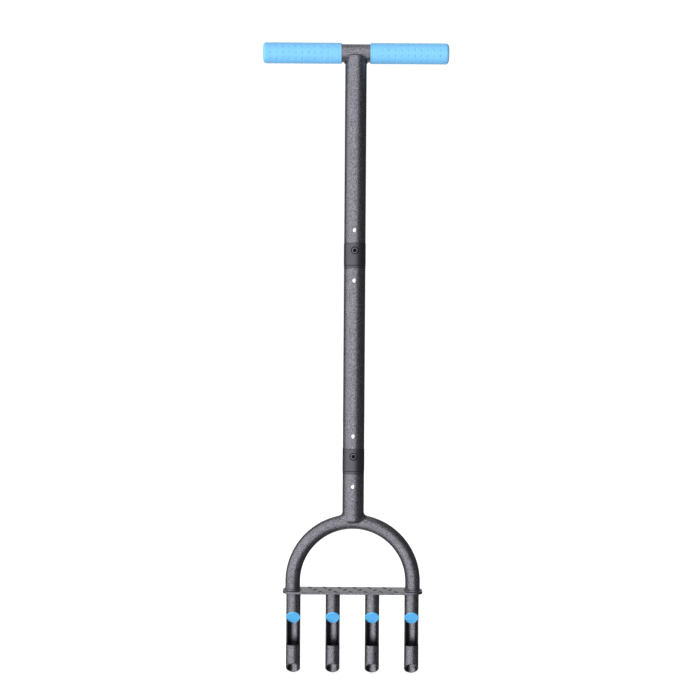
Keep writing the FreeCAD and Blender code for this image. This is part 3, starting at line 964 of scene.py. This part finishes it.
def tines_and_plugs(paint, shaded_inner_paint, plastic):
    """The four coring tubes and the plugs that steer the cores out of their windows."""
    for number, place in enumerate(tine_places, start=1):
        tine, plug = "tine_" + str(number), "core_plug_" + str(number)

        def is_inside(x, y, z, place=place):
            return np.hypot(x - place, y) < tine_radius - 0.12 * MM

        # The inside faces take the inner paint, which carries painted shade and a painted highlight.
        make_piece(
            tine + "_painted", [tine_shell(place)], paint, [tine], bevel=0.25 * MM,
            recess=(shaded_inner_paint, is_inside),
        )
        make_piece(plug + "_moulded", [plug_shell(place)], plastic, [plug], sharp_angle=30)


# ---- finishes -------------------------------------------------------------------------


def new_finish(name):
    """An empty material with its tree of nodes, its shader, and its object coordinates."""
    material = bpy.data.materials.new(name)
    material.use_nodes = True
    tree = material.node_tree
    tree.nodes.clear()
    output = tree.nodes.new("ShaderNodeOutputMaterial")
    shader = tree.nodes.new("ShaderNodeBsdfPrincipled")
    place = tree.nodes.new("ShaderNodeTexCoord")
    tree.links.new(shader.outputs["BSDF"], output.inputs["Surface"])
    return material, tree, shader, place.outputs["Object"]


def grain(tree, place, size, detail=3.0, roughness=0.55):
    """Noise whose lumps are about one size across."""
    noise = tree.nodes.new("ShaderNodeTexNoise")
    noise.inputs["Scale"].default_value = 1.0 / size
    noise.inputs["Detail"].default_value = detail
    noise.inputs["Roughness"].default_value = roughness
    tree.links.new(place, noise.inputs["Vector"])
    return noise.outputs["Fac"]


def cells(tree, place, size, smoothness=0.6):
    """Rounded cells about one size across, low in their middles."""
    pattern = tree.nodes.new("ShaderNodeTexVoronoi")
    pattern.feature = "SMOOTH_F1"
    pattern.inputs["Scale"].default_value = 1.0 / size
    pattern.inputs["Smoothness"].default_value = smoothness
    tree.links.new(place, pattern.inputs["Vector"])
    return pattern.outputs["Distance"]


def spread(tree, value, low, high, to_low, to_high):
    """Map one range of a value onto another, with its ends held."""
    span = tree.nodes.new("ShaderNodeMapRange")
    for socket, number in (("From Min", low), ("From Max", high), ("To Min", to_low), ("To Max", to_high)):
        span.inputs[socket].default_value = number
    tree.links.new(value, span.inputs["Value"])
    return span.outputs["Result"]


def smooth_edge(tree, value, low, high):
    """Nought below low, one above high, and a smooth step between them."""
    step = tree.nodes.new("ShaderNodeMapRange")
    step.interpolation_type = "SMOOTHSTEP"
    step.inputs["From Min"].default_value = low
    step.inputs["From Max"].default_value = high
    tree.links.new(value, step.inputs["Value"])
    return step.outputs["Result"]


def calculate(tree, operation, first, second):
    """One Math node; each input is a socket or a number."""
    node = tree.nodes.new("ShaderNodeMath")
    node.operation = operation
    for socket, value in zip(node.inputs, (first, second)):
        if isinstance(value, (int, float)):
            socket.default_value = value
        else:
            tree.links.new(value, socket)
    return node.outputs[0]


def blend_colours(tree, factor, first, second):
    """A colour between two, by a factor."""
    mix = tree.nodes.new("ShaderNodeMix")
    mix.data_type = "RGBA"
    for socket, colour in ((mix.inputs[6], first), (mix.inputs[7], second)):
        if isinstance(colour, tuple):
            socket.default_value = (*colour, 1.0)
        else:
            tree.links.new(colour, socket)
    tree.links.new(factor, mix.inputs[0])
    return mix.outputs[2]


def relief(tree, shader, layers):
    """Chain bumps of (height, depth in metres) onto the shader's normal."""
    normal = None
    for height, depth in layers:
        bump = tree.nodes.new("ShaderNodeBump")
        bump.inputs["Strength"].default_value = 1.0
        bump.inputs["Distance"].default_value = depth
        tree.links.new(height, bump.inputs["Height"])
        if normal:
            tree.links.new(normal, bump.inputs["Normal"])
        normal = bump.outputs["Normal"]
    tree.links.new(normal, shader.inputs["Normal"])


def hammertone_paint(name, speckle_depth, tone=1.0):
    """Grey hammertone paint: metal flake speckle over shallow rounded cells; a tone under one darkens the
    flakes as a painted shade.
    """
    material, tree, shader, place = new_finish(name)
    speckle = grain(tree, place, 1.7 * MM, detail=3.0, roughness=0.6)
    cloud = grain(tree, place, 9 * MM, detail=2.0)
    pattern = cells(tree, place, 2.4 * MM)
    factor = spread(tree, speckle, 0.36, 0.64, 0.0, 1.0)
    dark_flakes = (0.080 * tone, 0.078 * tone, 0.092 * tone)
    light_flakes = (0.285 * tone, 0.280 * tone, 0.318 * tone)
    flakes = blend_colours(tree, factor, dark_flakes, light_flakes)
    shade = spread(tree, cloud, 0.3, 0.7, 0.0, 0.22)
    colour = blend_colours(tree, shade, flakes, (0.13, 0.128, 0.145))
    tree.links.new(colour, shader.inputs["Base Color"])
    tree.links.new(spread(tree, speckle, 0.3, 0.7, 0.30, 0.44), shader.inputs["Roughness"])
    shader.inputs["Metallic"].default_value = 0.9
    shader.inputs["Coat Weight"].default_value = 0.25
    shader.inputs["Coat Roughness"].default_value = 0.22
    relief(tree, shader, [(pattern, speckle_depth), (speckle, speckle_depth * 0.35)])
    return material


def tine_inside_paint():
    """The same paint inside a tine, a little lighter as a painted highlight in a strip down the back, with
    a dark painted shade beside the strip, on the window's cut edges and low in the window.
    """
    material, tree, shader, place = new_finish("paint_inside_tines_with_painted_shade")
    speckle = grain(tree, place, 1.7 * MM, detail=3.0, roughness=0.6)
    factor = spread(tree, speckle, 0.36, 0.64, 0.0, 1.0)
    # The flakes are a little lighter than outside, a painted highlight.
    flakes = blend_colours(tree, factor, (0.085, 0.083, 0.095), (0.300, 0.295, 0.330))
    parts = tree.nodes.new("ShaderNodeSeparateXYZ")
    tree.links.new(place, parts.inputs[0])
    shade_edge_noise = grain(tree, place, 5 * MM, detail=2.0)
    waver = spread(tree, shade_edge_noise, 0.3, 0.7, -1.5 * MM, 1.5 * MM)
    height = calculate(tree, "ADD", parts.outputs[2], waver)
    above_sill = smooth_edge(tree, height, 46 * MM, 60 * MM)
    past_edge = smooth_edge(tree, parts.outputs[1], 1.3 * MM, 2.4 * MM)
    above_sill = calculate(tree, "MULTIPLY", above_sill, past_edge)
    below_sill = smooth_edge(tree, height, 44 * MM, 40 * MM)
    lit_share = calculate(tree, "MAXIMUM", above_sill, below_sill)
    from_left = calculate(tree, "ADD", parts.outputs[0], 2 * tine_pitch)
    from_middle = calculate(tree, "FLOORED_MODULO", from_left, tine_pitch)
    from_middle = calculate(tree, "SUBTRACT", from_middle, tine_pitch / 2)
    past_left = smooth_edge(tree, from_middle, -4.6 * MM, -2.2 * MM)
    past_right = smooth_edge(tree, from_middle, 7.5 * MM, 5.0 * MM)
    lit_across = calculate(tree, "MULTIPLY", past_left, past_right)
    lit_share = calculate(tree, "MULTIPLY", lit_share, lit_across)
    # Where the mask is low the colour is a dark painted shade instead of the paint.
    colour = blend_colours(tree, lit_share, (0.045, 0.045, 0.052), flakes)
    tree.links.new(colour, shader.inputs["Base Color"])
    tree.links.new(spread(tree, speckle, 0.3, 0.7, 0.26, 0.38), shader.inputs["Roughness"])
    shader.inputs["Metallic"].default_value = 0.9
    relief(tree, shader, [(speckle, 0.05 * MM)])
    return material


def clouded_finish(name, colours, cloud, contrast, fine, gloss, depth, settings=()):
    """A finish whose colour drifts between two, with a fine grain in its roughness and surface.

    cloud and fine are the size and detail of two noises, contrast and gloss are the lowest and
    highest value of the blend and of the roughness, and settings are other values of the shader.
    """
    material, tree, shader, place = new_finish(name)
    grained = grain(tree, place, *fine)
    factor = spread(tree, grain(tree, place, *cloud), *contrast, 0.0, 1.0)
    tree.links.new(blend_colours(tree, factor, *colours), shader.inputs["Base Color"])
    tree.links.new(spread(tree, grained, 0.3, 0.7, *gloss), shader.inputs["Roughness"])
    for socket, value in settings:
        shader.inputs[socket].default_value = value
    relief(tree, shader, [(grained, depth)])
    return material


def black_nylon():
    """Moulded black nylon, satin, with a fine even grain."""
    return clouded_finish(
        "black_nylon",
        colours=((0.007, 0.007, 0.013), (0.012, 0.012, 0.020)),
        cloud=(8 * MM, 3.0), contrast=(0.3, 0.7),
        fine=(0.5 * MM, 3.0), gloss=(0.36, 0.48), depth=0.03 * MM,
        settings=[
            ("IOR", 1.6),
            ("Specular IOR Level", 0.95),
            ("Specular Tint", (0.93, 0.92, 1.0, 1.0)),
        ],
    )


def shaded_recess():
    """Painted shade: a dull black that stands in for the shade in narrow recesses."""
    return clouded_finish(
        "painted_shade_in_recesses",
        colours=((0.004, 0.004, 0.005), (0.014, 0.014, 0.017)),
        cloud=(0.5 * MM, 3.0), contrast=(0.35, 0.65),
        fine=(0.5 * MM, 3.0), gloss=(0.7, 0.9), depth=0.02 * MM,
        settings=[("Specular IOR Level", 0.15)],
    )


def grip_rubber():
    """Matt sky-blue rubber with a fine pebbled skin."""
    return clouded_finish(
        "blue_rubber",
        colours=((0.185, 0.545, 0.93), (0.21, 0.575, 0.95)),
        cloud=(14 * MM, 3.0), contrast=(0.3, 0.7),
        fine=(0.7 * MM, 3.0, 0.6), gloss=(0.52, 0.66), depth=0.05 * MM,
        settings=[("Specular IOR Level", 0.45), ("Sheen Weight", 0.08)],
    )


def plug_plastic():
    """Moulded blue plastic, a little shinier than the grips, with faint flow marks."""
    return clouded_finish(
        "blue_plastic",
        colours=((0.10, 0.45, 0.88), (0.12, 0.50, 0.92)),
        cloud=(6 * MM, 4.0), contrast=(0.3, 0.7),
        fine=(0.6 * MM, 3.0), gloss=(0.34, 0.46), depth=0.03 * MM,
    )


def blackened_steel():
    """Black oxide on turned steel, finely mottled."""
    return clouded_finish(
        "black_steel",
        colours=((0.09, 0.09, 0.10), (0.17, 0.17, 0.18)),
        cloud=(0.35 * MM, 4.0), contrast=(0.35, 0.65),
        fine=(0.35 * MM, 4.0), gloss=(0.30, 0.45), depth=0.02 * MM,
        settings=[("Metallic", 1.0)],
    )


def rivet_alloy():
    """Bright tumbled aluminium, faintly clouded."""
    return clouded_finish(
        "rivet_alloy",
        colours=((0.90, 0.90, 0.91), (0.97, 0.97, 0.97)),
        cloud=(2.0 * MM, 2.0), contrast=(0.35, 0.65),
        fine=(0.4 * MM, 3.0), gloss=(0.20, 0.32), depth=0.01 * MM,
        settings=[("Metallic", 0.85)],
    )


def zinc_plate():
    """Bright zinc plate on steel, slightly blotched."""
    return clouded_finish(
        "zinc_steel",
        colours=((0.50, 0.50, 0.53), (0.66, 0.66, 0.68)),
        cloud=(2.5 * MM, 4.0), contrast=(0.35, 0.65),
        fine=(2.5 * MM, 4.0), gloss=(0.22, 0.38), depth=0.01 * MM,
        settings=[("Metallic", 1.0)],
    )


# ---- studio ---------------------------------------------------------------------------


def studio_floor():
    """A plain pale floor at the height of the tines' tips."""
    reach = 6.0
    count = 13
    side = np.linspace(-reach, reach, count)
    x, y = np.meshgrid(side, side)
    points = np.stack([x, y, 0 * x - 0.2 * MM], axis=-1).reshape(-1, 3)
    number = np.arange(count * count).reshape(count, count)
    faces = np.stack([number[:-1, :-1], number[:-1, 1:], number[1:, 1:], number[1:, :-1]], axis=-1)
    mesh = bpy.data.meshes.new("studio_floor")
    mesh.from_pydata(points.tolist(), [], faces.reshape(-1, 4).tolist())
    material, tree, shader, place = new_finish("pale_paper")
    fibre = grain(tree, place, 3 * MM, detail=2.0)
    colour = blend_colours(tree, fibre, (0.84, 0.84, 0.84), (0.87, 0.87, 0.87))
    tree.links.new(colour, shader.inputs["Base Color"])
    shader.inputs["Roughness"].default_value = 0.9
    shader.inputs["Specular IOR Level"].default_value = 0.1
    shader.inputs["Emission Color"].default_value = (1, 1, 1, 1)
    shader.inputs["Emission Strength"].default_value = 0.7
    mesh.materials.append(material)
    floor = bpy.data.objects.new("studio_floor", mesh)
    bpy.context.scene.collection.objects.link(floor)
    floor.visible_glossy = False
    floor.visible_diffuse = False
    floor.visible_shadow = False


def studio_light():
    """A white room seen by the camera, and a soft wall of light that wraps the left and the front.

    The light's strength is a sum of regions of direction: the key from the far left round to just
    right of the front, the backdrop behind, a patch overhead, and a low level everywhere.  The key
    fades upwards and downwards with the angle from the horizon, and is narrower just below it.
    """
    world = bpy.data.worlds.new("studio")
    bpy.context.scene.world = world
    world.use_nodes = True
    tree = world.node_tree
    tree.nodes.clear()
    place = tree.nodes.new("ShaderNodeTexCoord")
    parts = tree.nodes.new("ShaderNodeSeparateXYZ")
    tree.links.new(place.outputs["Generated"], parts.inputs[0])
    x, y, z = parts.outputs
    degree = math.radians(1.0)

    def work_out(operation, first, second=0.0):
        return calculate(tree, operation, first, second)

    def past(angle, low, high):
        return smooth_edge(tree, angle, low * degree, high * degree)

    round_angle = work_out("ARCTAN2", x, work_out("MULTIPLY", y, -1.0))
    slant = work_out("ARCSINE", z)
    below = past(slant, -4, -14)

    turned = work_out("ADD", round_angle, work_out("MULTIPLY", below, 13 * degree))
    key = work_out("SUBTRACT", past(round_angle, -114, -90), past(turned, 11, 37))
    dimmed = work_out("MULTIPLY", past(round_angle, -58, -86), below)
    key = work_out("MULTIPLY", key, work_out("ADD", work_out("MULTIPLY", dimmed, -0.62), 1.0))
    key = work_out("MULTIPLY", key, past(slant, -95, -30))
    dimmed = work_out("MULTIPLY", past(slant, 25, 95), -0.62)
    key = work_out("MULTIPLY", key, work_out("ADD", dimmed, 1.0))

    behind = past(work_out("ABSOLUTE", round_angle), 152, 166)
    strength = work_out("ADD", work_out("MULTIPLY", key, 1.52), work_out("MULTIPLY", behind, 0.62))
    overhead = work_out("MULTIPLY", smooth_edge(tree, z, 0.70, 0.95), 0.32)
    strength = work_out("ADD", work_out("MAXIMUM", strength, overhead), 0.075)

    seen = tree.nodes.new("ShaderNodeLightPath")
    choice = tree.nodes.new("ShaderNodeMix")
    tree.links.new(seen.outputs["Is Camera Ray"], choice.inputs[0])
    tree.links.new(strength, choice.inputs[2])
    choice.inputs[3].default_value = 1.05
    background = tree.nodes.new("ShaderNodeBackground")
    background.inputs["Color"].default_value = (1, 1, 1, 1)
    tree.links.new(choice.outputs[0], background.inputs["Strength"])
    output = tree.nodes.new("ShaderNodeOutputWorld")
    tree.links.new(background.outputs[0], output.inputs["Surface"])


def low_fill():
    """A broad soft light from low in front, which only matt surfaces show; the floor lets it pass."""
    data = bpy.data.lights.new("low_fill", "SUN")
    data.energy = 1.1
    data.angle = math.radians(60)
    data.color = (1.0, 1.0, 1.0)
    lamp = bpy.data.objects.new("low_fill", data)
    lamp.rotation_euler = (math.radians(140), 0, math.radians(-12))
    lamp.visible_glossy = False
    bpy.context.scene.collection.objects.link(lamp)


def studio_camera():
    """A level camera in front of the tool, leaning by a fraction of a degree."""
    data = bpy.data.cameras.new("studio_camera")
    data.sensor_width = 36.0
    data.lens = 60.48
    camera = bpy.data.objects.new("studio_camera", data)
    camera.location = (-0.0062, -1.75, 0.4841)
    camera.rotation_euler = (math.radians(90), math.radians(-0.38), 0)
    bpy.context.scene.collection.objects.link(camera)
    bpy.context.scene.camera = camera
    bpy.context.scene.view_settings.view_transform = "Standard"


# ---- the tool -------------------------------------------------------------------------


def build():
    """Make every piece in its finish."""
    paint = hammertone_paint("hammertone_paint", 0.16 * MM)
    weld_paint = hammertone_paint("hammertone_paint_on_welds", 0.22 * MM)
    nylon = black_nylon()
    rubber = grip_rubber()
    plastic = plug_plastic()
    steel = blackened_steel()
    zinc = zinc_plate()
    # The dull black second material is a painted shade for the counterbores and key holes.
    recess = shaded_recess()
    shaft_tubes(paint)
    sockets(nylon, recess)
    stems(nylon)
    screws(steel, recess)
    rivets(rivet_alloy())
    crossbar(paint)
    grips(rubber)
    arch(paint)
    # The plate's paint is a darker copy, a painted shade over the tread's top.
    foot_plate(hammertone_paint("hammertone_paint_on_plate_with_painted_shade", 0.16 * MM, tone=0.88))
    leg_and_tine_welds(weld_paint)
    shoulder_weld(weld_paint)
    # The handle weld's paint is a darker copy, a painted shade in the corners under the crossbar.
    handle_weld(hammertone_paint("hammertone_paint_on_handle_weld_with_painted_shade", 0.28 * MM, tone=0.62))
    tines_and_plugs(paint, tine_inside_paint(), plastic)
    for node in ("lower_nut", "upper_nut"):
        nut = frame["nodes"][node]
        nut.data.materials.clear()
        nut.data.materials.append(zinc)


build()
studio_floor()
studio_light()
low_fill()
studio_camera()
